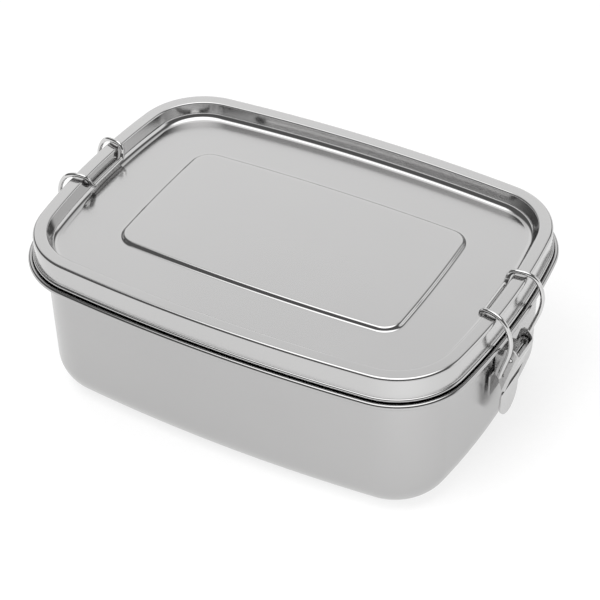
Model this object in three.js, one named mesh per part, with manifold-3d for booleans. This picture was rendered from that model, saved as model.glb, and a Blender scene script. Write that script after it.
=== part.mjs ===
// A stainless steel lunch box: a deep drawn tub, a recessed lid with a silicone seal, and a wire bail latch on each
// short end. Millimetres, +Z up, +X along the length. The origin is on the floor under the middle of the tub.
import * as THREE from 'three';
import { mergeVertices } from 'three/addons/utils/BufferGeometryUtils.js';
import Module from 'manifold-3d';

const wasm = await Module();
wasm.setup();

// Driving dimensions. Offsets are distances outwards from the lid's outer edge, measured square to it. A wall slope
// is in degrees from upright.
const SHEET = 0.6;
const GAP = 0.3;

const LID = { halfLength: 93, halfWidth: 66, top: 73, longBow: 6.2, shortBow: 7.3, corner: 28.5 };
const RIM = { outerEdge: 1.2, innerEdge: 0.8, inner: -5.7, wallSlope: 15, footRadius: 3 };
const SKIRT = { drop: 9.8, hemOut: 0.1, hemRadius: 0.7, hemNeck: 0.2 };
const PANEL_TOP = LID.top - 6.5;
const PLATEAU = { halfLength: 60, halfWidth: 33.4, longBow: 1.9, shortBow: 0.9, corner: 7, rise: 1.3, slope: 1.5 };

const FLANGE = { z: LID.top - 11.7, halfThickness: SHEET, filletUnder: 0.8, filletOver: 0.5 };
const BEAD = { out: 1.6, radius: 1.1 };
const TUB = { neck: -4, foot: -4.8, footRadius: 14.7, neckTop: LID.top - 2.8 };
const SEAL = { inner: -4.7, outer: -1, thickness: 1.5, edge: 0.4 };

// The latch pieces. Half widths and half lengths are along Y.
const WIRE = { radius: 0.9, endY: 5.7 };
const PIN = { radius: 0.95, halfLength: 7.2 };
const PIN_CLEARANCE = 0.2;
const HOOK_CLEARANCE = 0.35;
const LEVER = { sheet: 0.7, halfWidth: 7, tabHalfWidth: 7.9, flareLength: 3 };
const CROSSBAR = { halfLength: 10, fromRim: 2.6, underRim: 3.8 };
const BRACKET = { sheet: 0.6, wallGap: 0.2, stemHalfWidth: 5.7, plateHalfWidth: 11 };
const BRACKET_Z = { top: LID.top - 20, shoulder: LID.top - 31, foot: LID.top - 41.5 };
const EAR = { sheet: 0.8, radius: 2.1, above: -0.3, below: -5 };

// Places in the X-Z plane of the latch on the +X end. Corner and bow pull the curves of the cheek's top and the tab.
const PIVOT = new THREE.Vector2(95.6, LID.top - 24);
const HOOK = new THREE.Vector2(92.4, LID.top - 32.4);
const LOBE_RADIUS = 2.3;
const CHEEK_TOP = new THREE.Vector2(94.9, LID.top - 18.6);
const WEB_TOP = new THREE.Vector2(99.1, LID.top - 23.2);
const WEB_BEND = new THREE.Vector2(93.9, LID.top - 41.2);
const TAB_TIP = new THREE.Vector2(93.4, LID.top - 55.6);
const TAB_BOW = new THREE.Vector2(WEB_BEND.x - 0.9, WEB_BEND.y - 4);
const CHEEK_SHOULDER = new THREE.Vector2(CHEEK_TOP.x - 1.3, CHEEK_TOP.y - 1);
const CHEEK_CORNER = new THREE.Vector2(CHEEK_TOP.x + 2.8, CHEEK_TOP.y);

// Steel and silicone finishes.
const satinSteel = () => new THREE.MeshStandardMaterial({ color: 0xc6c4c4, roughness: 0.32, metalness: 1 });
const brightSteel = () => new THREE.MeshStandardMaterial({ color: 0xd0cfce, roughness: 0.16, metalness: 1 });
const silicone = () => new THREE.MeshStandardMaterial({ color: 0xdcdcd8, roughness: 0.55, metalness: 0 });

// ---------------------------------------------------------------------------------------------------------------
// Outlines: a rectangle whose four sides bow outwards, with round corners tangent to them.

const SIDE_STEPS = { long: 8, short: 6, corner: 8 };

// One quarter's corner circle touches both side arcs, so its centre is where two shrunken side circles cross.
function cornerCentre(longArc, shortArc, corner) {
  const a = longArc.radius - corner;
  const b = shortArc.radius - corner;
  const between = new THREE.Vector2().subVectors(shortArc.centre, longArc.centre);
  const distance = between.length();
  const along = (a * a - b * b + distance * distance) / (2 * distance);
  const across = Math.sqrt(a * a - along * along);
  const unit = between.normalize();
  return new THREE.Vector2(
    longArc.centre.x + unit.x * along + unit.y * across,
    longArc.centre.y + unit.y * along - unit.x * across,
  );
}

// The stations of the first quarter, from the +X end's middle to the +Y side's middle.
function quarterStations({ halfLength, halfWidth, longBow, shortBow, corner }) {
  const longRadius = halfLength ** 2 / (2 * longBow);
  const shortRadius = halfWidth ** 2 / (2 * shortBow);
  const longArc = { centre: new THREE.Vector2(0, halfWidth - longRadius), radius: longRadius };
  const shortArc = { centre: new THREE.Vector2(halfLength - shortRadius, 0), radius: shortRadius };
  const centre = cornerCentre(longArc, shortArc, corner);
  const angleFrom = (arc) => Math.atan2(centre.y - arc.centre.y, centre.x - arc.centre.x);
  const shortEnd = angleFrom(shortArc);
  const longStart = angleFrom(longArc);
  const stretches = [
    { ...shortArc, from: 0, to: shortEnd, steps: SIDE_STEPS.short / 2 },
    { centre, radius: corner, from: shortEnd, to: longStart, steps: SIDE_STEPS.corner },
    { ...longArc, from: longStart, to: Math.PI / 2, steps: SIDE_STEPS.long / 2 },
  ];
  return stretches.flatMap(({ centre: c, radius, from, to, steps }) =>
    Array.from({ length: steps }, (_, i) => ({ centre: c, radius, angle: from + ((to - from) * i) / steps })),
  );
}

// An outline is a closed list of stations, anticlockwise; each gives its point for any offset.
function makeOutline(shape) {
  const quarter = quarterStations(shape);
  const last = { centre: new THREE.Vector2(0, shape.halfWidth), radius: 0, angle: Math.PI / 2 };
  const mirrorX = (s) => ({ ...s, centre: new THREE.Vector2(-s.centre.x, s.centre.y), angle: Math.PI - s.angle });
  const half = [...quarter, last, ...quarter.slice(1).reverse().map(mirrorX)];
  const turned = half.map((s) => ({
    ...s,
    centre: new THREE.Vector2(-s.centre.x, -s.centre.y),
    angle: s.angle + Math.PI,
  }));
  const start = mirrorX(quarter[0]);
  return [...half, start, ...turned.slice(1)].map(({ centre, radius, angle }) => (offset) =>
    new THREE.Vector2(
      centre.x + (radius + offset) * Math.cos(angle),
      centre.y + (radius + offset) * Math.sin(angle),
    ),
  );
}

const lidOutline = makeOutline(LID);
const plateauOutline = makeOutline(PLATEAU);

// ---------------------------------------------------------------------------------------------------------------
// Pressed pieces: a section of (outline, offset, z) rings carried round the outline.

const ring = (offset, z, outline = lidOutline) => ({ outline, offset, z });
const middle = (z) => ({ outline: null, offset: 0, z });

// Rings along a round stretch of the section; angles in degrees, 0 outwards and 90 up.
function arcRings(offset, z, radius, from, to, steps) {
  return Array.from({ length: steps + 1 }, (_, i) => {
    const angle = THREE.MathUtils.degToRad(from + ((to - from) * i) / steps);
    return ring(offset + radius * Math.cos(angle), z + radius * Math.sin(angle));
  });
}

// A lathe makes the closed skin of the section, and each of its columns then moves from the circle to its station.
function pressed(section) {
  const columns = lidOutline.length;
  const profile = section.map(({ outline, z }) => new THREE.Vector2(outline ? 1 : 0, z));
  const geometry = new THREE.LatheGeometry(profile, columns);
  const position = geometry.attributes.position;
  for (let index = 0; index < position.count; index += 1) {
    const { outline, offset, z } = section[index % section.length];
    const station = Math.floor(index / section.length) % columns;
    const point = outline ? outline[station](offset) : new THREE.Vector2(0, 0);
    position.setXYZ(index, point.x, point.y, z);
  }
  return geometry;
}

function tubGeometry() {
  const foot = { offset: TUB.foot - TUB.footRadius, z: TUB.footRadius };
  const slope = THREE.MathUtils.radToDeg(Math.asin(FLANGE.halfThickness / BEAD.radius));
  const neckInner = TUB.neck - SHEET;
  return pressed([
    middle(0),
    ...arcRings(foot.offset, foot.z, TUB.footRadius, 270, 360, 6),
    ring(TUB.neck, FLANGE.z - FLANGE.halfThickness - FLANGE.filletUnder),
    ring(TUB.neck + FLANGE.filletUnder, FLANGE.z - FLANGE.halfThickness),
    ...arcRings(BEAD.out, FLANGE.z, BEAD.radius, 180 + slope, 540 - slope, 8),
    ring(TUB.neck + FLANGE.filletOver, FLANGE.z + FLANGE.halfThickness),
    ring(TUB.neck, FLANGE.z + FLANGE.halfThickness + FLANGE.filletOver),
    ...arcRings(TUB.neck - SHEET / 2, TUB.neckTop - SHEET / 2, SHEET / 2, 0, 180, 3),
    ring(neckInner, FLANGE.z),
    ...arcRings(foot.offset, foot.z, TUB.footRadius - SHEET, 360, 270, 6),
    middle(SHEET),
  ]);
}

function lidGeometry() {
  const panelUnder = PANEL_TOP - SHEET;
  const innerEdge = RIM.inner + RIM.innerEdge;
  const slope = THREE.MathUtils.degToRad(RIM.wallSlope);
  const bends = RIM.innerEdge + RIM.footRadius;
  const wallHeight = LID.top - PANEL_TOP - bends * (1 - Math.sin(slope));
  const foot = innerEdge - bends * Math.cos(slope) - wallHeight * Math.tan(slope);
  const skirtBottom = LID.top - SKIRT.drop;
  const plateauTop = PANEL_TOP + PLATEAU.rise;
  return pressed([
    middle(plateauTop - SHEET),
    ring(0, plateauTop - SHEET, plateauOutline),
    ring(PLATEAU.slope, panelUnder, plateauOutline),
    ...arcRings(foot, PANEL_TOP + RIM.footRadius, RIM.footRadius + SHEET, 270, 360 - RIM.wallSlope, 4),
    ...arcRings(innerEdge, LID.top - RIM.innerEdge, RIM.innerEdge - SHEET, 180 - RIM.wallSlope, 90, 1),
    ...arcRings(-RIM.outerEdge, LID.top - RIM.outerEdge, RIM.outerEdge - SHEET, 90, 0, 2),
    ...arcRings(SKIRT.hemOut, skirtBottom, SKIRT.hemRadius, 180, 450, 8),
    ring(0, skirtBottom + SKIRT.hemRadius + SKIRT.hemNeck),
    ...arcRings(-RIM.outerEdge, LID.top - RIM.outerEdge, RIM.outerEdge, 0, 90, 4),
    ...arcRings(innerEdge, LID.top - RIM.innerEdge, RIM.innerEdge, 90, 180 - RIM.wallSlope, 3),
    ...arcRings(foot, PANEL_TOP + RIM.footRadius, RIM.footRadius, 360 - RIM.wallSlope, 270, 4),
    ring(PLATEAU.slope, PANEL_TOP, plateauOutline),
    ring(0, plateauTop, plateauOutline),
    middle(plateauTop),
  ]);
}

function sealGeometry() {
  const top = LID.top - SHEET - GAP;
  const bottom = top - SEAL.thickness;
  return pressed([
    ring(SEAL.inner + SEAL.edge, bottom),
    ring(SEAL.outer - SEAL.edge, bottom),
    ring(SEAL.outer, bottom + SEAL.edge),
    ring(SEAL.outer, top - SEAL.edge),
    ring(SEAL.outer - SEAL.edge, top),
    ring(SEAL.inner + SEAL.edge, top),
    ring(SEAL.inner, top - SEAL.edge),
    ring(SEAL.inner, bottom + SEAL.edge),
    ring(SEAL.inner + SEAL.edge, bottom),
  ]);
}

// ---------------------------------------------------------------------------------------------------------------
// Latch pieces, all drawn for the +X end.

function toSolid(geometry) {
  const bare = geometry.clone();
  bare.deleteAttribute('normal');
  bare.deleteAttribute('uv');
  const merged = mergeVertices(bare, 1e-4);
  return new wasm.Manifold(
    new wasm.Mesh({
      numProp: 3,
      vertProperties: new Float32Array(merged.attributes.position.array),
      triVerts: new Uint32Array(merged.index.array),
    }),
  );
}

function toGeometry(solid) {
  const { vertProperties, triVerts } = solid.getMesh();
  const geometry = new THREE.BufferGeometry();
  geometry.setAttribute('position', new THREE.BufferAttribute(vertProperties, 3));
  geometry.setIndex(new THREE.BufferAttribute(triVerts, 1));
  return geometry;
}

// A shape drawn with X to the right and Z up, made solid from y = low to y = high.
function sideSolid(shape, low, high, curveSegments = 6) {
  const geometry = new THREE.ExtrudeGeometry(shape, { depth: high - low, bevelEnabled: false, curveSegments });
  geometry.rotateX(Math.PI / 2);
  geometry.translate(0, high, 0);
  return toSolid(geometry);
}

// A shape drawn with Y to the right and Z up, made solid from x = low to x = high.
function endSolid(shape, low, high, curveSegments = 10) {
  const geometry = new THREE.ExtrudeGeometry(shape, { depth: high - low, bevelEnabled: false, curveSegments });
  geometry.rotateX(Math.PI / 2);
  geometry.rotateZ(Math.PI / 2);
  geometry.translate(low, 0, 0);
  return toSolid(geometry);
}

function holeAt(centre, radius) {
  const hole = new THREE.Path();
  hole.absarc(centre.x, centre.y, radius, 0, Math.PI * 2, true);
  return hole;
}

// A cheek of the lever: a rounded top, the inner edge down to the lobe around the hook hole, then the web's line.
function cheekShape() {
  const shape = new THREE.Shape();
  shape.moveTo(WEB_TOP.x, WEB_TOP.y);
  shape.quadraticCurveTo(CHEEK_CORNER.x, CHEEK_CORNER.y, CHEEK_TOP.x, CHEEK_TOP.y);
  shape.lineTo(CHEEK_SHOULDER.x, CHEEK_SHOULDER.y);
  shape.absarc(HOOK.x, HOOK.y, LOBE_RADIUS, Math.PI * 0.85, Math.PI * 1.35, false);
  shape.lineTo(WEB_BEND.x - LEVER.sheet, WEB_BEND.y);
  shape.lineTo(WEB_BEND.x, WEB_BEND.y);
  shape.closePath();
  shape.holes.push(holeAt(PIVOT, PIN.radius + PIN_CLEARANCE));
  shape.holes.push(holeAt(HOOK, WIRE.radius + HOOK_CLEARANCE));
  return shape;
}

// The web and tab seen from the side: one strip of sheet, straight down to the bend and bowed below it.
function stripShape() {
  const t = LEVER.sheet;
  const shape = new THREE.Shape();
  shape.moveTo(WEB_TOP.x, WEB_TOP.y);
  shape.lineTo(WEB_TOP.x - t, WEB_TOP.y + t);
  shape.lineTo(WEB_BEND.x - t, WEB_BEND.y);
  shape.quadraticCurveTo(TAB_BOW.x - t, TAB_BOW.y, TAB_TIP.x - t, TAB_TIP.y);
  shape.lineTo(TAB_TIP.x, TAB_TIP.y);
  shape.quadraticCurveTo(TAB_BOW.x, TAB_BOW.y, WEB_BEND.x, WEB_BEND.y);
  shape.closePath();
  return shape;
}

// The lever seen from the end: a straight web, and a slightly wider tab with a fully round tip.
function leverFrontShape() {
  const web = LEVER.halfWidth;
  const tab = LEVER.tabHalfWidth;
  const flareEnd = WEB_BEND.y - LEVER.flareLength;
  const flareBow = WEB_BEND.y - LEVER.flareLength / 3;
  const shape = new THREE.Shape();
  shape.moveTo(web, CHEEK_TOP.y);
  shape.lineTo(-web, CHEEK_TOP.y);
  shape.lineTo(-web, WEB_BEND.y);
  shape.quadraticCurveTo(-tab, flareBow, -tab, flareEnd);
  shape.lineTo(-tab, TAB_TIP.y + tab);
  shape.absarc(0, TAB_TIP.y + tab, tab, Math.PI, Math.PI * 2, false);
  shape.lineTo(tab, flareEnd);
  shape.quadraticCurveTo(tab, flareBow, web, WEB_BEND.y);
  shape.closePath();
  return shape;
}

function leverGeometry() {
  const web = LEVER.halfWidth;
  const tab = LEVER.tabHalfWidth;
  const strip = sideSolid(stripShape(), -tab, tab);
  const front = endSolid(leverFrontShape(), LID.halfLength + TUB.neck, WEB_TOP.x + 1);
  const near = sideSolid(cheekShape(), -web, LEVER.sheet - web, 8);
  const far = sideSolid(cheekShape(), web - LEVER.sheet, web, 8);
  return toGeometry(strip.intersect(front).add(near).add(far));
}

// An ear of the bracket, seen from the side: a disc round the pin on a neck that slopes down to the plate.
function earShape(inner, outer) {
  const ear = new THREE.Shape();
  const neckAngle = Math.PI - Math.asin(EAR.above / EAR.radius);
  ear.moveTo(inner, PIVOT.y + EAR.above);
  ear.lineTo(inner, PIVOT.y + EAR.below);
  ear.lineTo(outer, PIVOT.y + EAR.below);
  ear.absarc(PIVOT.x, PIVOT.y, EAR.radius, -Math.PI * 0.6, neckAngle, false);
  ear.closePath();
  ear.holes.push(holeAt(PIVOT, PIN.radius + PIN_CLEARANCE));
  return ear;
}

// The bracket's plate is a stem on a wider foot. It stands a hair off the tub's nearly flat end wall.
function plateShape() {
  const stem = BRACKET.stemHalfWidth;
  const wide = BRACKET.plateHalfWidth;
  const plate = new THREE.Shape();
  plate.moveTo(-stem, BRACKET_Z.top);
  plate.lineTo(-stem, BRACKET_Z.shoulder);
  plate.lineTo(-wide, BRACKET_Z.shoulder);
  plate.lineTo(-wide, BRACKET_Z.foot);
  plate.lineTo(wide, BRACKET_Z.foot);
  plate.lineTo(wide, BRACKET_Z.shoulder);
  plate.lineTo(stem, BRACKET_Z.shoulder);
  plate.lineTo(stem, BRACKET_Z.top);
  plate.closePath();
  return plate;
}

function bracketGeometry() {
  const inner = LID.halfLength + TUB.neck + BRACKET.wallGap;
  const outer = inner + BRACKET.sheet;
  const stem = BRACKET.stemHalfWidth;
  const ear = earShape(inner, outer);
  return toGeometry(
    endSolid(plateShape(), inner, outer)
      .add(sideSolid(ear, -stem, EAR.sheet - stem, 8))
      .add(sideSolid(ear, stem - EAR.sheet, stem, 8)),
  );
}

function pinGeometry() {
  const geometry = new THREE.CylinderGeometry(PIN.radius, PIN.radius, PIN.halfLength * 2, 16);
  geometry.translate(PIVOT.x, 0, PIVOT.y);
  return geometry;
}

// The wire's centre line. Each leg leaves the crossbar in the recess, goes over the rim, leans outwards past the
// flange and turns in through the hook hole of a cheek: [x, z, y].
function bailPath() {
  const barX = LID.halfLength + RIM.inner - CROSSBAR.fromRim;
  const barZ = LID.top - CROSSBAR.underRim;
  const leg = [
    [barX, barZ, CROSSBAR.halfLength - 1.4],
    [barX, barZ, CROSSBAR.halfLength],
    [barX + 0.2, barZ + 1.5, 11.4],
    [barX + 0.8, barZ + 3.7, 12.1],
    [barX + 2.2, LID.top + 1.2, 12.6],
    [LID.halfLength - 3.5, LID.top + 1.6, 13],
    [LID.halfLength - 0.8, LID.top + 1.2, 13.5],
    [LID.halfLength + 1.9, LID.top - 0.2, 14],
    [LID.halfLength + 4.2, LID.top - 3.6, 14.3],
    [LID.halfLength + 5.5, LID.top - 8.4, 14.2],
    [LID.halfLength + 5, LID.top - 14, 13.8],
    [PIVOT.x, PIVOT.y + 1.9, 12.4],
    [HOOK.x + 0.9, HOOK.y + 3.1, 10.1],
    [HOOK.x, HOOK.y, 8.4],
    [HOOK.x, HOOK.y, WIRE.endY],
  ].map(([x, z, y]) => new THREE.Vector3(x, y, z));
  const mirrored = leg.map((p) => new THREE.Vector3(p.x, -p.y, p.z));
  return new THREE.CatmullRomCurve3([...mirrored.reverse(), ...leg], false, 'centripetal');
}

function bailGeometry() {
  const section = new THREE.Shape();
  section.absarc(0, 0, WIRE.radius, 0, Math.PI * 2, false);
  return new THREE.ExtrudeGeometry(section, {
    steps: 80,
    curveSegments: 4,
    bevelEnabled: false,
    extrudePath: bailPath(),
  });
}

// ---------------------------------------------------------------------------------------------------------------
// The assembly.

function named(name, geometry, material) {
  const mesh = new THREE.Mesh(geometry, material);
  mesh.name = name;
  return mesh;
}

function latch(side) {
  const group = new THREE.Group();
  group.add(named(`bracket_${side}`, bracketGeometry(), satinSteel()));
  group.add(named(`lever_${side}`, leverGeometry(), satinSteel()));
  group.add(named(`pivot_pin_${side}`, pinGeometry(), brightSteel()));
  group.add(named(`bail_${side}`, bailGeometry(), brightSteel()));
  return group;
}

const lunchBox = new THREE.Group();
lunchBox.add(named('tub', tubGeometry(), satinSteel()));
lunchBox.add(named('lid', lidGeometry(), satinSteel()));
lunchBox.add(named('lid_seal', sealGeometry(), silicone()));
const right = latch('right');
const left = latch('left');
left.rotation.z = Math.PI;
lunchBox.add(right, left);

export default lunchBox;
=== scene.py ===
"""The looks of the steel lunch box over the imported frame: fine pressings, latch stampings and wire.

Sizes are metres in the frame's own axes: X along the length, Z up, the floor at zero.
"""
import math

import bmesh
import bpy
from mathutils import Matrix, Vector


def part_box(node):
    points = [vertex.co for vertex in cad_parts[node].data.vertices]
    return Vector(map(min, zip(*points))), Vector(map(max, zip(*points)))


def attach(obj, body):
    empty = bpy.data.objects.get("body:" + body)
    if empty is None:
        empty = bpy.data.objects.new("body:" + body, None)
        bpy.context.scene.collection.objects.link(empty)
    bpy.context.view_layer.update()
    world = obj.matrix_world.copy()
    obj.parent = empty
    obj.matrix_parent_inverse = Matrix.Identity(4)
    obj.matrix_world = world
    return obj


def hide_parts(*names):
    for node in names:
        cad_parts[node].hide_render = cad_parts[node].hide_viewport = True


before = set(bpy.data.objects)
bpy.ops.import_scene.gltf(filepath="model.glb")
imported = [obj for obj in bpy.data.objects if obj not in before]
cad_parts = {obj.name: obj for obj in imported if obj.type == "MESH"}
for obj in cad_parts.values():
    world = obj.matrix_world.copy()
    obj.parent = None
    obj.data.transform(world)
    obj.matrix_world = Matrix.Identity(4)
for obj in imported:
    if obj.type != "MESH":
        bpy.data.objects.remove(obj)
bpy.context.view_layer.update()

MM = 0.001
FULL_TURN = 2 * math.pi

# Driving sizes of the pressings. An offset is measured outwards, square to the lid's outer edge.
SHEET = 0.6 * MM
LID_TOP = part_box("lid")[1].z
LID_SHAPE = {
    "length": 93 * MM,
    "width": 66 * MM,
    "long_bow": 6.2 * MM,
    "short_bow": 7.3 * MM,
    "corner": 28.5 * MM,
}
FIELD_SHAPE = {
    "length": 60 * MM,
    "width": 33.4 * MM,
    "long_bow": 1.9 * MM,
    "short_bow": 0.9 * MM,
    "corner": 7 * MM,
}
FIELD_RISE = 1.3 * MM
FIELD_SLOPE = 1.5 * MM
FIELD_TURN = 58
FIELD_MARGIN = 1.5 * MM
RECESS_DEPTH = 6.5 * MM
PANEL_TOP = LID_TOP - RECESS_DEPTH
RIM_EDGE = 1.2 * MM
RIM_INNER_EDGE = 0.8 * MM
RIM_INNER = -5.7 * MM
RECESS_SLOPE = 15
RECESS_FILLET = 3 * MM
HEM_Z = LID_TOP - 9.8 * MM
HEM_OUT = 0.1 * MM
HEM_RADIUS = 0.7 * MM
FLANGE_Z = LID_TOP - 11.7 * MM
FLANGE_HALF = SHEET
FLANGE_UNDER_FILLET = 0.8 * MM
FLANGE_OVER_FILLET = 0.5 * MM
BEAD_OUT = 1.6 * MM
BEAD_RADIUS = 1.1 * MM
NECK = -4 * MM
NECK_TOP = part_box("tub")[1].z
TUB_FOOT = -4.8 * MM
TUB_FILLET = 14.7 * MM
SEAL_INNER = -4.7 * MM
SEAL_OUTER = -1 * MM
SEAL_EDGE = 0.4 * MM

# Steps round a quarter of an outline: half a short side, a corner and half a long side.
SHORT_STEPS = 14
CORNER_STEPS = 26
LONG_STEPS = 22

# How bright each part of a pressing is rubbed, from 0 for satin to 1 for bright.
ROLLED = 1.0
RECESS_BEND = 0.9
BEND = 0.8
UNDER_BEND = 0.6
FLAT_EDGE = 0.5

# Where the flats beside a bend fade to satin: how far from the bend, and how bright there.
RIM_EASE = 0.4 * MM
SKIRT_FADE = ((0.25 * MM, 0.4), (0.8 * MM, 0.2))
PANEL_FADE = ((0.6 * MM, 0.3), (2.5 * MM, 0.0))

# Driving places of the latch on the +X end, in the X-Z plane.
PIVOT = Vector((95.6 * MM, LID_TOP - 24 * MM))
HOOK = Vector((92.4 * MM, LID_TOP - 32.4 * MM))
CHEEK_TOP = Vector((94.9 * MM, LID_TOP - 18.6 * MM))
WEB_TOP = Vector((99.1 * MM, LID_TOP - 23.2 * MM))
WEB_BEND = Vector((93.9 * MM, LID_TOP - 41.2 * MM))
TAB_TIP = Vector((93.4 * MM, LID_TOP - 55.6 * MM))
CROSSBAR = Vector((84.7 * MM, LID_TOP - 3.8 * MM))
LOBE_RADIUS = 2.3 * MM
LOBE_ANGLES = (153, 243)
LEVER_HALF = 7 * MM
LEVER_SHEET = 0.7 * MM
LEVER_BEND = 1.3 * MM
CHEEK_DEPTH = 14 * MM
WEB_OVERRUN = 4 * MM
TAB_HALF = 7.9 * MM
TAB_FLARE = 3 * MM
TAB_CUT_REACH = 5 * MM
WIRE_RADIUS = 0.9 * MM
PIN_RADIUS = 0.95 * MM
PIN_HALF = 7.2 * MM
PIN_DOME = 0.25 * MM
PIN_SIDES = 28
PIN_SLACK = 0.2 * MM
HOOK_SLACK = 0.35 * MM
PLATE_INNER = 89.2 * MM
PLATE_SHEET = 0.6 * MM
PLATE_TOP = LID_TOP - 20 * MM
PLATE_SHOULDER = LID_TOP - 31 * MM
PLATE_FOOT = LID_TOP - 41.5 * MM
PLATE_CORNER = 1.2 * MM
CORNER_SHARE = 0.45
STEM_HALF = 5.7 * MM
PLATE_HALF = 11 * MM
EAR_SHEET = 0.8 * MM
EAR_RADIUS = 2.1 * MM
EAR_START = -108
EAR_ROOT_ABOVE = -0.3 * MM
EAR_ROOT_BELOW = -5 * MM
EAR_INTO_PLATE = 0.1 * MM

# Meshing and shading.
WIRE_SIDES = 18
WIRE_STEPS_PER_SPAN = 10
CUTTER_SIDES = 40
CUTTER_LENGTH = 40 * MM
MERGE_DISTANCE = 1e-7
STAMPED_EDGE = 0.1 * MM
BEVEL_SEGMENTS = 3
BEVEL_ANGLE = 40
NORMAL_WEIGHT = 80


# ----------------------------------------------------------------------------------------------------
# Materials

CLOUD_SCALE = 35
PORE_SCALE = 2600
LINE_SCALE = 60
LINE_STRETCH = (1, 45, 45)
CLOUD_SHADE = 0.96
ROUGH_SPREAD = 0.03
BUMP_STRENGTH = 0.35
RUBBER_CLOUD_SCALE = 300
RUBBER_ROUGHNESS = (0.45, 0.6)


def new_material(name, metal=True):
    """A material, its nodes, its links and its shader."""
    material = bpy.data.materials.new(name)
    material.use_nodes = True
    nodes = material.node_tree.nodes
    shader = nodes["Principled BSDF"]
    shader.inputs["Metallic"].default_value = 1.0 if metal else 0.0
    return material, nodes, material.node_tree.links, shader


def add_noise(nodes, links, scale, detail=2.0, stretch=(1, 1, 1)):
    """A noise in the piece's own metres, stretched along its axes."""
    place = nodes.new("ShaderNodeTexCoord")
    mapping = nodes.new("ShaderNodeMapping")
    mapping.inputs["Scale"].default_value = stretch
    noise = nodes.new("ShaderNodeTexNoise")
    noise.inputs["Scale"].default_value = scale
    noise.inputs["Detail"].default_value = detail
    links.new(place.outputs["Object"], mapping.inputs["Vector"])
    links.new(mapping.outputs["Vector"], noise.inputs["Vector"])
    return noise.outputs["Fac"]


def add_range(nodes, links, value, low, high):
    """Value, from 0 to 1, spread over low to high."""
    spread = nodes.new("ShaderNodeMapRange")
    spread.inputs["To Min"].default_value = low
    spread.inputs["To Max"].default_value = high
    links.new(value, spread.inputs["Value"])
    return spread.outputs["Result"]


def add_math(nodes, links, operation, a, b):
    """The result of a maths node; a and b are sockets or numbers."""
    node = nodes.new("ShaderNodeMath")
    node.operation = operation
    for socket, value in zip(node.inputs, (a, b)):
        if isinstance(value, float):
            socket.default_value = value
        else:
            links.new(value, socket)
    return node.outputs["Value"]


def mix_colours(nodes, links, factor, a, b):
    """The colour between a and b."""
    colour = nodes.new("ShaderNodeMix")
    colour.data_type = "RGBA"
    colour.inputs["A"].default_value = (*a, 1)
    colour.inputs["B"].default_value = (*b, 1)
    links.new(factor, colour.inputs["Factor"])
    return colour.outputs["Result"]


def steel(name, tone, satin, bright, grain, brushing=0.0):
    """Stainless steel, as rough as satin where 'polish' is 0 and as bright where it is 1.

    Grain and brushing are the heights, in metres, of its pores and its brushed lines.
    """
    material, nodes, links, shader = new_material(name)
    polish = nodes.new("ShaderNodeAttribute")
    polish.attribute_name = "polish"
    clouds = add_noise(nodes, links, CLOUD_SCALE, 4)
    pores = add_noise(nodes, links, PORE_SCALE, 2)
    shaded = [c * CLOUD_SHADE for c in tone]
    links.new(mix_colours(nodes, links, clouds, shaded, tone), shader.inputs["Base Color"])
    rough_satin = add_range(nodes, links, clouds, satin - ROUGH_SPREAD, satin + ROUGH_SPREAD)
    rough_pores = add_range(nodes, links, pores, -ROUGH_SPREAD, ROUGH_SPREAD)
    rough_satin = add_math(nodes, links, "ADD", rough_satin, rough_pores)
    mix = nodes.new("ShaderNodeMix")
    mix.inputs["B"].default_value = bright
    links.new(polish.outputs["Fac"], mix.inputs["Factor"])
    links.new(rough_satin, mix.inputs["A"])
    links.new(mix.outputs["Result"], shader.inputs["Roughness"])
    height = add_math(nodes, links, "MULTIPLY", pores, grain)
    if brushing:
        lines = add_noise(nodes, links, LINE_SCALE, 3, LINE_STRETCH)
        height = add_math(nodes, links, "ADD", height, add_math(nodes, links, "MULTIPLY", lines, brushing))
    bump = nodes.new("ShaderNodeBump")
    bump.inputs["Strength"].default_value = BUMP_STRENGTH
    bump.inputs["Distance"].default_value = 1.0
    links.new(height, bump.inputs["Height"])
    links.new(bump.outputs["Normal"], shader.inputs["Normal"])
    return material


def silicone(name, shaded, tone):
    """Translucent white rubber, faintly clouded."""
    material, nodes, links, shader = new_material(name, metal=False)
    shader.inputs["Subsurface Weight"].default_value = 0.3
    clouds = add_noise(nodes, links, RUBBER_CLOUD_SCALE, 3)
    links.new(mix_colours(nodes, links, clouds, shaded, tone), shader.inputs["Base Color"])
    links.new(add_range(nodes, links, clouds, *RUBBER_ROUGHNESS), shader.inputs["Roughness"])
    return material


LID_STEEL = steel("lid_steel", (0.54, 0.537, 0.536), 0.19, 0.09, grain=0.5e-6, brushing=1.0e-6)
TUB_STEEL = steel("tub_steel", (0.465, 0.462, 0.461), 0.25, 0.1, grain=0.5e-6, brushing=0.6e-6)
LATCH_STEEL = steel("latch_steel", (0.56, 0.557, 0.555), 0.24, 0.14, grain=0.8e-6)
WIRE_STEEL = steel("wire_steel", (0.62, 0.617, 0.615), 0.1, 0.07, grain=0.3e-6)
SEAL = silicone("seal_silicone", (0.72, 0.72, 0.69), (0.8, 0.8, 0.78))


# ----------------------------------------------------------------------------------------------------
# Outlines: four bowed sides and four round corners tangent to them

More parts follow.
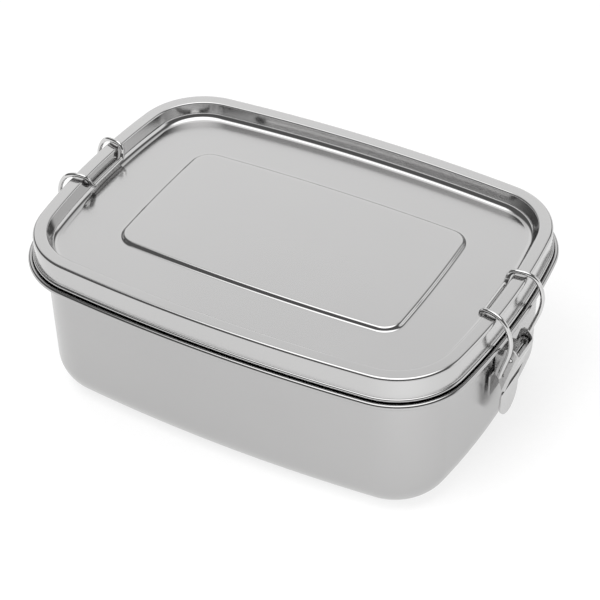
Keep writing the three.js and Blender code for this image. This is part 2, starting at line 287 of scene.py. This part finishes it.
def quarter_arcs(length, width, long_bow, short_bow, corner):
    """The three arcs from the +X end's middle to the +Y side's middle: (centre, radius, from, to, steps)."""
    long_radius = length ** 2 / (2 * long_bow)
    short_radius = width ** 2 / (2 * short_bow)
    long_centre = Vector((0, width - long_radius))
    short_centre = Vector((length - short_radius, 0))
    between = short_centre - long_centre
    a = long_radius - corner
    b = short_radius - corner
    along = (a * a - b * b + between.length_squared) / (2 * between.length)
    across = math.sqrt(a * a - along * along)
    unit = between.normalized()
    centre = long_centre + unit * along + Vector((unit.y, -unit.x)) * across
    short_end = math.atan2(*reversed(centre - short_centre))
    long_start = math.atan2(*reversed(centre - long_centre))
    return [
        (short_centre, short_radius, 0, short_end, SHORT_STEPS),
        (centre, corner, short_end, long_start, CORNER_STEPS),
        (long_centre, long_radius, long_start, math.pi / 2, LONG_STEPS),
    ]


def outline(shape):
    """A closed list of stations, anticlockwise, each a function from an offset to its point."""
    quarter = [
        (centre, radius, start + (end - start) * i / steps)
        for centre, radius, start, end, steps in quarter_arcs(**shape)
        for i in range(steps)
    ]
    top = (Vector((0, shape["width"])), 0.0, math.pi / 2)
    mirrored = [(Vector((-c.x, c.y)), r, math.pi - t) for c, r, t in quarter]
    half = [*quarter, top, *reversed(mirrored[1:])]
    turned = [(-c, r, t + math.pi) for c, r, t in half]

    def at(centre, radius, angle):
        """A station: the point at the offset, square to the outline."""
        return lambda offset: centre + Vector((math.cos(angle), math.sin(angle))) * (radius + offset)

    return [at(*station) for station in [*half, *turned]]


LID_OUTLINE = outline(LID_SHAPE)
FIELD_OUTLINE = outline(FIELD_SHAPE)


# ----------------------------------------------------------------------------------------------------
# Building pieces

def finish_mesh(name, bm, material, body, replaces, bevel=None):
    """Makes the object, gives it its material and its shading, and puts it on its body."""
    mesh = bpy.data.meshes.new(name)
    bm.normal_update()
    bm.to_mesh(mesh)
    bm.free()
    mesh.materials.append(material)
    for face in mesh.polygons:
        face.use_smooth = True
    piece = bpy.data.objects.new(name, mesh)
    bpy.context.scene.collection.objects.link(piece)
    if bevel:
        edge = piece.modifiers.new("edge", "BEVEL")
        edge.width = bevel
        edge.segments = BEVEL_SEGMENTS
        edge.limit_method = "ANGLE"
        edge.angle_limit = math.radians(BEVEL_ANGLE)
        edge.harden_normals = False
    shade = piece.modifiers.new("shade", "WEIGHTED_NORMAL")
    shade.keep_sharp = True
    shade.weight = NORMAL_WEIGHT
    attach(piece, body)
    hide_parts(replaces)
    return piece


def ring(offset, z, polish=0.0, stations=LID_OUTLINE):
    """One loop of a pressing: its outline moved outwards by the offset, at the height z."""
    return {"offset": offset, "z": z, "polish": polish, "stations": stations}


def centre(z):
    """The single point that closes a pressing's skin on its axis."""
    return {"offset": 0, "z": z, "polish": 0.0, "stations": None}


def arc(offset, z, radius, start, end, steps, polish=0.0):
    """Rings along a round stretch of the section; angles in degrees, 0 outwards and 90 up."""
    angles = [math.radians(start + (end - start) * i / steps) for i in range(steps + 1)]
    return [ring(offset + radius * math.cos(a), z + radius * math.sin(a), polish) for a in angles]


def press(name, section, material, body, closed=False):
    """Carries the section round its outlines as one closed skin."""
    bm = bmesh.new()
    layer = bm.verts.layers.float.new("polish")
    columns = len(LID_OUTLINE)
    loops = []
    for step in section:
        if step["stations"] is None:
            loop = [bm.verts.new((0, 0, step["z"]))]
        else:
            loop = [bm.verts.new((*station(step["offset"]), step["z"])) for station in step["stations"]]
        for vertex in loop:
            vertex[layer] = step["polish"]
        loops.append(loop)
    pairs = list(zip(loops, loops[1:]))
    if closed:
        pairs.append((loops[-1], loops[0]))
    for low, high in pairs:
        for i in range(columns):
            j = (i + 1) % columns
            corners = [low[i % len(low)], low[j % len(low)], high[j % len(high)], high[i % len(high)]]
            bm.faces.new(dict.fromkeys(corners))
    return finish_mesh(name, bm, material, body, name.removesuffix("_shell"))


# ----------------------------------------------------------------------------------------------------
# The three pressings

def build_tub():
    """The tub: a rounded foot, a leaning wall, a folded flange with a rolled bead, and the neck above it."""
    foot = TUB_FOOT - TUB_FILLET
    under = FLANGE_UNDER_FILLET
    over = FLANGE_OVER_FILLET
    half_lip = SHEET / 2
    slope = math.degrees(math.asin(FLANGE_HALF / BEAD_RADIUS))

    def on_wall(share):
        """A ring on the straight wall, the share of the way from the foot's bend to the flange."""
        offset = TUB_FOOT + share * (NECK - TUB_FOOT)
        return ring(offset, TUB_FILLET + share * (FLANGE_Z - TUB_FILLET))

    section = [
        centre(0),
        *arc(foot, TUB_FILLET, TUB_FILLET, 270, 360, 20),
        on_wall(0.25),
        on_wall(0.6),
        *arc(NECK + under, FLANGE_Z - FLANGE_HALF - under, under, 180, 90, 6, UNDER_BEND),
        *arc(BEAD_OUT, FLANGE_Z, BEAD_RADIUS, 180 + slope, 540 - slope, 24, ROLLED),
        *arc(NECK + over, FLANGE_Z + FLANGE_HALF + over, over, 270, 180, 5, BEND),
        *arc(NECK - half_lip, NECK_TOP - half_lip, half_lip, 0, 180, 8, FLAT_EDGE),
        ring(NECK - SHEET, FLANGE_Z),
        *arc(foot, TUB_FILLET, TUB_FILLET - SHEET, 360, 270, 20),
        centre(SHEET),
    ]
    return press("tub_shell", section, TUB_STEEL, "tub")


def build_lid():
    """The lid: a field raised in a sunken panel, a leaning wall, a flat rim and a skirt with a rolled hem."""
    under = PANEL_TOP - SHEET
    inner_edge = RIM_INNER + RIM_INNER_EDGE
    slope = math.radians(RECESS_SLOPE)
    bends = RIM_INNER_EDGE + RECESS_FILLET
    wall_height = LID_TOP - PANEL_TOP - bends * (1 - math.sin(slope))
    foot = inner_edge - bends * math.cos(slope) - wall_height * math.tan(slope)
    field_top = PANEL_TOP + FIELD_RISE
    hem_top = HEM_Z + HEM_RADIUS
    section = [
        centre(field_top - SHEET),
        ring(0, field_top - SHEET, 0, FIELD_OUTLINE),
        ring(FIELD_SLOPE, under, 0, FIELD_OUTLINE),
        *arc(foot, PANEL_TOP + RECESS_FILLET, RECESS_FILLET + SHEET, 270, 360 - RECESS_SLOPE, 16),
        *arc(inner_edge, LID_TOP - RIM_INNER_EDGE, RIM_INNER_EDGE - SHEET, 180 - RECESS_SLOPE, 90, 3),
        *arc(-RIM_EDGE, LID_TOP - RIM_EDGE, RIM_EDGE - SHEET, 90, 0, 5),
        *arc(HEM_OUT, HEM_Z, HEM_RADIUS, 180, 455, 20, ROLLED),
        *[ring(0, hem_top + reach, polish) for reach, polish in SKIRT_FADE],
        *arc(-RIM_EDGE, LID_TOP - RIM_EDGE, RIM_EDGE, 0, 90, 10, BEND),
        ring(-RIM_EDGE - RIM_EASE, LID_TOP, FLAT_EDGE),
        ring(inner_edge + RIM_EASE, LID_TOP, FLAT_EDGE),
        *arc(inner_edge, LID_TOP - RIM_INNER_EDGE, RIM_INNER_EDGE, 90, 180 - RECESS_SLOPE, 9, RECESS_BEND),
        *arc(foot, PANEL_TOP + RECESS_FILLET, RECESS_FILLET, 360 - RECESS_SLOPE, 270, 20, RECESS_BEND),
        *[ring(foot - reach, PANEL_TOP, polish) for reach, polish in PANEL_FADE],
        *field_edge(field_top),
        centre(field_top),
    ]
    return press("lid_shell", section, LID_STEEL, "lid")


def field_edge(field_top):
    """The raised field's edge: one bend up from the panel and one back to level."""
    radius = FIELD_RISE / 2 / (1 - math.cos(math.radians(FIELD_TURN)))
    reach = radius * math.sin(math.radians(FIELD_TURN))
    middle = FIELD_SLOPE / 2

    def bend(offset, z, start, end):
        """Rings round one bend, laid on the field's outline."""
        steps = arc(offset, z, radius, start, end, 9, BEND)
        return [{**step, "stations": FIELD_OUTLINE} for step in steps]

    return [
        ring(middle + reach + FIELD_MARGIN, PANEL_TOP, 0, FIELD_OUTLINE),
        *bend(middle + reach, PANEL_TOP + radius, 270, 270 - FIELD_TURN),
        *bend(middle - reach, field_top - radius, 90 - FIELD_TURN, 90)[1:],
        ring(middle - reach - FIELD_MARGIN, field_top, 0, FIELD_OUTLINE),
    ]


def build_seal():
    """The seal: a flat rubber band under the rim, with rounded edges."""
    seal_low, seal_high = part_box("lid_seal")
    bottom = seal_low.z + SEAL_EDGE
    top = seal_high.z - SEAL_EDGE
    inner = SEAL_INNER + SEAL_EDGE
    outer = SEAL_OUTER - SEAL_EDGE
    section = [
        *arc(inner, bottom, SEAL_EDGE, 180, 270, 5),
        *arc(outer, bottom, SEAL_EDGE, 270, 360, 5),
        *arc(outer, top, SEAL_EDGE, 0, 90, 5),
        *arc(inner, top, SEAL_EDGE, 90, 180, 5),
    ]
    return press("lid_seal_shell", section, SEAL, "lid", closed=True)


build_tub()
build_lid()
build_seal()


# ----------------------------------------------------------------------------------------------------
# Latches, made for the +X end and turned half round for the other

def turn_to_side(bm, side):
    """Turns a piece made for the +X end half round when it is for the other end."""
    if side == "left":
        bmesh.ops.transform(bm, matrix=Matrix.Rotation(math.pi, 4, "Z"), verts=bm.verts)


def sweep_wire(points, radius, sides=WIRE_SIDES):
    """A round wire along the points, cut square at its ends."""
    bm = bmesh.new()
    layer = bm.verts.layers.float.new("polish")
    loops = []
    normal = None
    for i, point in enumerate(points):
        ahead = points[min(i + 1, len(points) - 1)] - points[max(i - 1, 0)]
        tangent = ahead.normalized()
        if normal is None:
            normal = tangent.orthogonal().normalized()
        normal = (normal - tangent * normal.dot(tangent)).normalized()
        binormal = tangent.cross(normal)
        turns = [FULL_TURN * k / sides for k in range(sides)]
        loops.append([
            bm.verts.new(point + (normal * math.cos(a) + binormal * math.sin(a)) * radius) for a in turns
        ])
    for low, high in zip(loops, loops[1:]):
        for k in range(sides):
            j = (k + 1) % sides
            bm.faces.new((low[k], low[j], high[j], high[k]))
    bm.faces.new(list(reversed(loops[0])))
    bm.faces.new(loops[-1])
    for vertex in bm.verts:
        vertex[layer] = ROLLED
    return bm


def spline(points, per_span):
    """A centripetal Catmull-Rom curve through the points."""
    ends = [points[0] * 2 - points[1], *points, points[-1] * 2 - points[-2]]
    found = []
    for p0, p1, p2, p3 in zip(ends, ends[1:], ends[2:], ends[3:]):
        t1 = (p1 - p0).length ** 0.5
        t2 = t1 + (p2 - p1).length ** 0.5
        t3 = t2 + (p3 - p2).length ** 0.5
        for i in range(per_span):
            t = t1 + (t2 - t1) * i / per_span
            a1 = p0 * ((t1 - t) / t1) + p1 * (t / t1)
            a2 = p1 * ((t2 - t) / (t2 - t1)) + p2 * ((t - t1) / (t2 - t1))
            a3 = p2 * ((t3 - t) / (t3 - t2)) + p3 * ((t - t2) / (t3 - t2))
            b1 = a1 * ((t2 - t) / t2) + a2 * (t / t2)
            b2 = a2 * ((t3 - t) / (t3 - t1)) + a3 * ((t - t1) / (t3 - t1))
            found.append(b1 * ((t2 - t) / (t2 - t1)) + b2 * ((t - t1) / (t2 - t1)))
    return [*found, points[-1].copy()]


def build_bail(side):
    """The wire bail: from its end in one cheek, up over the rim, across, and back to the other cheek."""
    over = [
        (CROSSBAR.x, 8.6 * MM, CROSSBAR.y),
        (CROSSBAR.x, 10 * MM, CROSSBAR.y),
        (CROSSBAR.x + 0.2 * MM, 11.4 * MM, CROSSBAR.y + 1.5 * MM),
        (CROSSBAR.x + 0.8 * MM, 12.1 * MM, CROSSBAR.y + 3.7 * MM),
        (CROSSBAR.x + 2.2 * MM, 12.6 * MM, LID_TOP + 1.2 * MM),
        (89.5 * MM, 13 * MM, LID_TOP + 1.53 * MM),
        (92.2 * MM, 13.5 * MM, LID_TOP + 1.2 * MM),
        (94.9 * MM, 14 * MM, LID_TOP - 0.2 * MM),
    ]
    down = [
        (97.2 * MM, 14.3 * MM, LID_TOP - 3.6 * MM),
        (98.44 * MM, 14.2 * MM, LID_TOP - 8.4 * MM),
        (98 * MM, 13.8 * MM, LID_TOP - 14 * MM),
        (95.6 * MM, 12.4 * MM, LID_TOP - 22.1 * MM),
        (HOOK.x + 0.9 * MM, 10.1 * MM, HOOK.y + 3.1 * MM),
        (HOOK.x, 8.4 * MM, HOOK.y),
        (HOOK.x, 5.7 * MM, HOOK.y),
    ]
    far = [Vector(p) for p in [*over, *down]]
    near = [Vector((p.x, -p.y, p.z)) for p in reversed(far)]
    bm = sweep_wire(spline([*near, *far], WIRE_STEPS_PER_SPAN), WIRE_RADIUS)
    turn_to_side(bm, side)
    bail = f"bail_{side}"
    return finish_mesh(f"{bail}_wire", bm, WIRE_STEEL, bail, bail)


def hole_cutter(centre_point, radius):
    """A long cylinder along Y that cuts the hole for a pin or a wire."""
    bm = bmesh.new()
    size = {"segments": CUTTER_SIDES, "radius1": radius, "radius2": radius, "depth": CUTTER_LENGTH}
    bmesh.ops.create_cone(bm, cap_ends=True, **size)
    turn = Matrix.Rotation(math.pi / 2, 4, "X")
    move = Matrix.Translation((centre_point.x, 0, centre_point.y))
    bmesh.ops.transform(bm, matrix=move @ turn, verts=bm.verts)
    return bm


def to_object(bm, name):
    """A helper object that holds the mesh for a boolean."""
    mesh = bpy.data.meshes.new(name)
    bm.to_mesh(mesh)
    bm.free()
    piece = bpy.data.objects.new(name, mesh)
    bpy.context.scene.collection.objects.link(piece)
    return piece


def boolean(bm, others, operation):
    """The mesh cut by, or joined with, each of the others."""
    base = to_object(bm, "base")
    helpers = [to_object(other, "helper") for other in others]
    for helper in helpers:
        step = base.modifiers.new("step", "BOOLEAN")
        step.operation = operation
        step.object = helper
        step.solver = "EXACT"
    depsgraph = bpy.context.evaluated_depsgraph_get()
    made = bmesh.new()
    made.from_mesh(base.evaluated_get(depsgraph).to_mesh())
    for old in [base, *helpers]:
        bpy.data.objects.remove(old)
    bmesh.ops.remove_doubles(made, verts=made.verts, dist=MERGE_DISTANCE)
    return made


def prism(outline_points, low, high, axis):
    """A closed prism of a flat outline. Axis "y": points are (x, z); axis "x": points are (y, z)."""
    bm = bmesh.new()

    def place(point, depth):
        """The point of the outline at this depth along the axis."""
        return (point[0], depth, point[1]) if axis == "y" else (depth, point[0], point[1])

    first = [bm.verts.new(place(p, low)) for p in outline_points]
    second = [bm.verts.new(place(p, high)) for p in outline_points]
    bm.faces.new(first)
    bm.faces.new(second)
    count = len(first)
    for i in range(count):
        j = (i + 1) % count
        bm.faces.new((first[i], first[j], second[j], second[i]))
    bmesh.ops.recalc_face_normals(bm, faces=bm.faces)
    return bm


def bow(start, control, end, steps):
    """Points of a parabola from start to end, pulled towards control."""
    shares = [i / steps for i in range(steps + 1)]
    return [start * (1 - t) ** 2 + control * (2 * t * (1 - t)) + end * t ** 2 for t in shares]


def disc(centre_point, radius, start, end, steps):
    """Points round part of a circle, from one angle in degrees to another."""
    angles = [math.radians(start + (end - start) * i / steps) for i in range(steps + 1)]
    return [centre_point + Vector((math.cos(a), math.sin(a))) * radius for a in angles]


def rounded(points, radius, steps=6):
    """The outline with each corner cut back by the radius, or less by a short side, and rounded."""
    made = []
    count = len(points)
    for i, corner in enumerate(points):
        corner = Vector(corner)
        before = Vector(points[i - 1]) - corner
        after = Vector(points[(i + 1) % count]) - corner
        reach = min(radius, before.length * CORNER_SHARE, after.length * CORNER_SHARE)
        arrival = corner + before.normalized() * reach
        departure = corner + after.normalized() * reach
        made += bow(arrival, corner, departure, steps)
    return made


def channel():
    """The web with the two cheeks bent back from it, cut straight: a long bent section along the web."""
    along = (WEB_TOP - WEB_BEND).normalized()
    inwards = Vector((-along.y, along.x))
    inside = LEVER_BEND - LEVER_SHEET
    half = LEVER_HALF
    inner_half = half - LEVER_SHEET
    outer_corner = disc(Vector((half - LEVER_BEND, LEVER_BEND)), LEVER_BEND, 0, -90, 8)
    inner_corner = disc(Vector((inner_half - inside, LEVER_SHEET + inside)), inside, -90, 0, 6)
    right = [Vector((half, CHEEK_DEPTH)), *outer_corner]
    right_inner = [*inner_corner, Vector((inner_half, CHEEK_DEPTH))]
    left = [Vector((-p.x, p.y)) for p in reversed(right)]
    left_inner = [Vector((-p.x, p.y)) for p in reversed(right_inner)]
    section = [*right, *left, *left_inner, *right_inner]
    bm = bmesh.new()
    rows = []
    for station in (WEB_BEND, WEB_TOP + along * WEB_OVERRUN):
        row = []
        for p in section:
            spot = station + inwards * p.y
            row.append(bm.verts.new((spot.x, p.x, spot.y)))
        rows.append(row)
    count = len(section)
    for i in range(count):
        j = (i + 1) % count
        bm.faces.new((rows[0][i], rows[0][j], rows[1][j], rows[1][i]))
    for row in rows:
        bm.faces.new(row)
    bmesh.ops.recalc_face_normals(bm, faces=bm.faces)
    return bm


def cheek_profile():
    """The cheeks' outline from the side, carried a little past the web to leave the web's face alone."""
    past = Vector((2 * MM, -0.5 * MM))
    top = bow(WEB_TOP, CHEEK_TOP + Vector((2.8 * MM, 0)), CHEEK_TOP, 12)
    shoulder = CHEEK_TOP + Vector((-1.3 * MM, -1 * MM))
    lobe = disc(HOOK, LOBE_RADIUS, *LOBE_ANGLES, 14)
    foot = WEB_BEND - Vector((LEVER_SHEET, 0))
    return [WEB_TOP + past, *top, shoulder, *lobe, foot, WEB_BEND, WEB_BEND + past]


def tab():
    """The thumb tab: a bowed strip below the web, slightly wider, with a fully round tip."""
    control = WEB_BEND + Vector((-0.9 * MM, -4 * MM))
    sheet = Vector((-LEVER_SHEET, 0))
    face = bow(WEB_BEND, control, TAB_TIP, 20)
    back = bow(TAB_TIP + sheet, control + sheet, WEB_BEND + sheet, 20)
    side = prism([*face, *back], -TAB_HALF, TAB_HALF, "y")
    web = Vector((LEVER_HALF, WEB_BEND.y))
    flare = bow(web, Vector((TAB_HALF, WEB_BEND.y - MM)), Vector((TAB_HALF, WEB_BEND.y - TAB_FLARE)), 8)
    tip = disc(Vector((0, TAB_TIP.y + TAB_HALF)), TAB_HALF, 0, -180, 40)
    left = [Vector((-p.x, p.y)) for p in reversed(flare)]
    front = prism([*flare, *tip, *left], TAB_TIP.x - TAB_CUT_REACH, TAB_TIP.x + TAB_CUT_REACH, "x")
    return boolean(side, [front], "INTERSECT")


def build_lever(side):
    """The lever: a channel trimmed to the cheeks' outline, the thumb tab, and two cross holes."""
    bm = boolean(channel(), [prism(cheek_profile(), -2 * LEVER_HALF, 2 * LEVER_HALF, "y")], "INTERSECT")
    bm = boolean(bm, [tab()], "UNION")
    holes = [
        hole_cutter(PIVOT, PIN_RADIUS + PIN_SLACK),
        hole_cutter(HOOK, WIRE_RADIUS + HOOK_SLACK),
    ]
    bm = boolean(bm, holes, "DIFFERENCE")
    turn_to_side(bm, side)
    lever = f"lever_{side}"
    name = f"{lever}_stamping"
    return finish_mesh(name, bm, LATCH_STEEL, lever, lever, bevel=STAMPED_EDGE)


def build_bracket(side):
    """The bracket: a T-shaped plate on the tub's end, with two ears that carry the pin."""
    outer = PLATE_INNER + PLATE_SHEET
    half_plate = [
        (PLATE_HALF, PLATE_FOOT),
        (PLATE_HALF, PLATE_SHOULDER),
        (STEM_HALF, PLATE_SHOULDER),
        (STEM_HALF, PLATE_TOP),
    ]
    plate_points = [*half_plate, *[(-y, z) for y, z in reversed(half_plate)]]
    plate = prism(rounded(plate_points, PLATE_CORNER), PLATE_INNER, outer, "x")
    root = PLATE_INNER + EAR_INTO_PLATE
    root_top = PIVOT.y + EAR_ROOT_ABOVE
    root_low = PIVOT.y + EAR_ROOT_BELOW
    neck_angle = 180 - math.degrees(math.asin(EAR_ROOT_ABOVE / EAR_RADIUS))
    ear_points = [
        Vector((root, root_top)),
        Vector((root, root_low)),
        Vector((outer, root_low)),
        *disc(PIVOT, EAR_RADIUS, EAR_START, neck_angle, 30),
    ]
    ears = [
        prism(ear_points, -STEM_HALF, EAR_SHEET - STEM_HALF, "y"),
        prism(ear_points, STEM_HALF - EAR_SHEET, STEM_HALF, "y"),
    ]
    bm = boolean(plate, ears, "UNION")
    bm = boolean(bm, [hole_cutter(PIVOT, PIN_RADIUS + PIN_SLACK)], "DIFFERENCE")
    turn_to_side(bm, side)
    bracket = f"bracket_{side}"
    name = f"{bracket}_stamping"
    return finish_mesh(name, bm, LATCH_STEEL, "tub", bracket, bevel=STAMPED_EDGE)


def build_pin(side):
    """A plain pin with slightly domed ends: shares of its radius, with their places along it."""
    dome = [(0, 0), (0.5, 0.12 * PIN_DOME), (0.85, 0.48 * PIN_DOME), (1, PIN_DOME)]
    one_end = [(share, PIN_HALF - drop) for share, drop in dome]
    profile = [*one_end, *[(share, -y) for share, y in reversed(one_end)]]
    angles = [FULL_TURN * k / PIN_SIDES for k in range(PIN_SIDES)]
    bm = bmesh.new()
    loops = []
    for share, y in profile:
        if share == 0:
            loops.append([bm.verts.new((PIVOT.x, y, PIVOT.y))])
            continue
        radius = PIN_RADIUS * share
        around = [(PIVOT.x + radius * math.cos(a), y, PIVOT.y + radius * math.sin(a)) for a in angles]
        loops.append([bm.verts.new(spot) for spot in around])
    for low, high in zip(loops, loops[1:]):
        for k in range(PIN_SIDES):
            j = (k + 1) % PIN_SIDES
            corners = [low[k % len(low)], low[j % len(low)], high[j % len(high)], high[k % len(high)]]
            bm.faces.new(dict.fromkeys(corners))
    bmesh.ops.recalc_face_normals(bm, faces=bm.faces)
    turn_to_side(bm, side)
    pin = f"pivot_pin_{side}"
    return finish_mesh(f"{pin}_steel", bm, WIRE_STEEL, f"lever_{side}", pin)


for end in ("right", "left"):
    build_bracket(end)
    build_lever(end)
    build_pin(end)
    build_bail(end)


# ----------------------------------------------------------------------------------------------------
# Studio

FLOOR_GLOW = 0.75
FLOOR_TONES = ((0.2, 0.2, 0.2), (0.22, 0.22, 0.22))
FLOOR_HALF = 6
PAPER_SCALE = 400

# The sky's patches: their directions, and the cosines from them between which each patch fades in.
UP = (0, 0, 1)
WINDOW_SIDE = (0.75, 0.6, 0.28)
SOFTBOX_SIDE = (-0.38, 0.68, 0.62)
ROOM_BAND = (0.08, 0.25)
WINDOW_BAND = (0.88, 0.97)
SOFTBOX_BAND = (0.78, 0.93)
SOFTBOX_SHADE_BAND = (0.55, 0.75)
CEILING_BAND = (0.84, 0.93)

# How bright the parts of the sky are.
HORIZON_GLOW = 1.2
ROOM_GLOW = 0.14
WINDOW_GLOW = 1.2
SOFTBOX_LOW_GLOW = 1.18
SOFTBOX_HIGH_GLOW = 0.86
CEILING_GLOW = 2.3

# The camera, fitted to the box's outline in the photo.
CAMERA_AZIMUTH = 29.88
CAMERA_ELEVATION = 39.95
CAMERA_ROLL = -1.31
CAMERA_AIM = Vector((2.1 * MM, 0.7 * MM, 36.0 * MM))
CAMERA_DISTANCE = 825.5 * MM
CAMERA_LENS = 125.67


def build_floor():
    """White paper on a light table, whose glow keeps the shadows faint."""
    bm = bmesh.new()
    bmesh.ops.create_grid(bm, x_segments=1, y_segments=1, size=FLOOR_HALF)
    mesh = bpy.data.meshes.new("floor")
    bm.to_mesh(mesh)
    bm.free()
    floor = bpy.data.objects.new("floor", mesh)
    material, nodes, links, shader = new_material("floor_paper", metal=False)
    shader.inputs["Roughness"].default_value = 0.9
    shader.inputs["Emission Color"].default_value = (1, 1, 1, 1)
    shader.inputs["Emission Strength"].default_value = FLOOR_GLOW
    paper = add_noise(nodes, links, PAPER_SCALE, 3)
    links.new(mix_colours(nodes, links, paper, *FLOOR_TONES), shader.inputs["Base Color"])
    material.cycles.emission_sampling = "NONE"
    mesh.materials.append(material)
    bpy.context.scene.collection.objects.link(floor)


def build_world():
    """A white horizon, a window on the far right, a large softbox high on the far left, a bright ceiling
    and, between them, a dim room.
    """
    world = bpy.data.worlds.new("studio")
    world.use_nodes = True
    bpy.context.scene.world = world
    nodes = world.node_tree.nodes
    links = world.node_tree.links
    background = nodes["Background"]
    background.inputs["Color"].default_value = (1, 1, 1, 1)
    place = nodes.new("ShaderNodeTexCoord")

    def facing(direction, low, high):
        """0 up to the low cosine from the direction and 1 from the high one, smooth between."""
        dot = nodes.new("ShaderNodeVectorMath")
        dot.operation = "DOT_PRODUCT"
        dot.inputs[1].default_value = Vector(direction).normalized()
        links.new(place.outputs["Generated"], dot.inputs[0])
        spread = nodes.new("ShaderNodeMapRange")
        spread.interpolation_type = "SMOOTHSTEP"
        spread.inputs["From Min"].default_value = low
        spread.inputs["From Max"].default_value = high
        links.new(dot.outputs["Value"], spread.inputs["Value"])
        return spread.outputs["Result"]

    def blend(factor, a, b):
        """From a to b by the factor; each is a socket or a number."""
        mix = nodes.new("ShaderNodeMix")
        links.new(factor, mix.inputs["Factor"])
        for socket, value in (("A", a), ("B", b)):
            if isinstance(value, float):
                mix.inputs[socket].default_value = value
            else:
                links.new(value, mix.inputs[socket])
        return mix.outputs["Result"]

    room = blend(facing(UP, *ROOM_BAND), HORIZON_GLOW, ROOM_GLOW)
    window = blend(facing(WINDOW_SIDE, *WINDOW_BAND), room, WINDOW_GLOW)
    lit = blend(facing(UP, *SOFTBOX_SHADE_BAND), SOFTBOX_LOW_GLOW, SOFTBOX_HIGH_GLOW)
    softbox = blend(facing(SOFTBOX_SIDE, *SOFTBOX_BAND), window, lit)
    whole = blend(facing(UP, *CEILING_BAND), softbox, CEILING_GLOW)
    links.new(whole, background.inputs["Strength"])


def area_light(name, side, power, place, aim):
    """A square lamp that the camera and the reflections don't see."""
    data = bpy.data.lights.new(name, "AREA")
    data.shape = "RECTANGLE"
    data.size = side
    data.size_y = side
    data.energy = power
    lamp = bpy.data.objects.new(name, data)
    lamp.location = place
    lamp.rotation_mode = "QUATERNION"
    lamp.rotation_quaternion = (Vector(place) - Vector(aim)).to_track_quat("Z", "Y")
    lamp.visible_glossy = False
    lamp.visible_camera = False
    bpy.context.scene.collection.objects.link(lamp)


def build_camera():
    """A long lens from the front right, a little rolled."""
    azimuth = math.radians(CAMERA_AZIMUTH)
    elevation = math.radians(CAMERA_ELEVATION)
    roll = math.radians(CAMERA_ROLL)
    back = Vector((
        math.sin(azimuth) * math.cos(elevation),
        -math.cos(azimuth) * math.cos(elevation),
        math.sin(elevation),
    ))
    data = bpy.data.cameras.new("camera")
    data.lens = CAMERA_LENS
    camera = bpy.data.objects.new("camera", data)
    camera.location = CAMERA_AIM + back * CAMERA_DISTANCE
    level = (-back).to_track_quat("-Z", "Y").to_matrix().to_4x4()
    camera.rotation_euler = (level @ Matrix.Rotation(roll, 4, "Z")).to_euler()
    bpy.context.scene.collection.objects.link(camera)
    bpy.context.scene.camera = camera


build_floor()
build_world()
area_light("overhead", side=0.9, power=14, place=(-0.25, -0.6, 1.1), aim=(0, -0.1, 0))
area_light("corner", side=0.06, power=0.16, place=(0.15, -0.14, 0.11), aim=(0.15, -0.14, 0))
build_camera()
bpy.context.scene.view_settings.view_transform = "Standard"
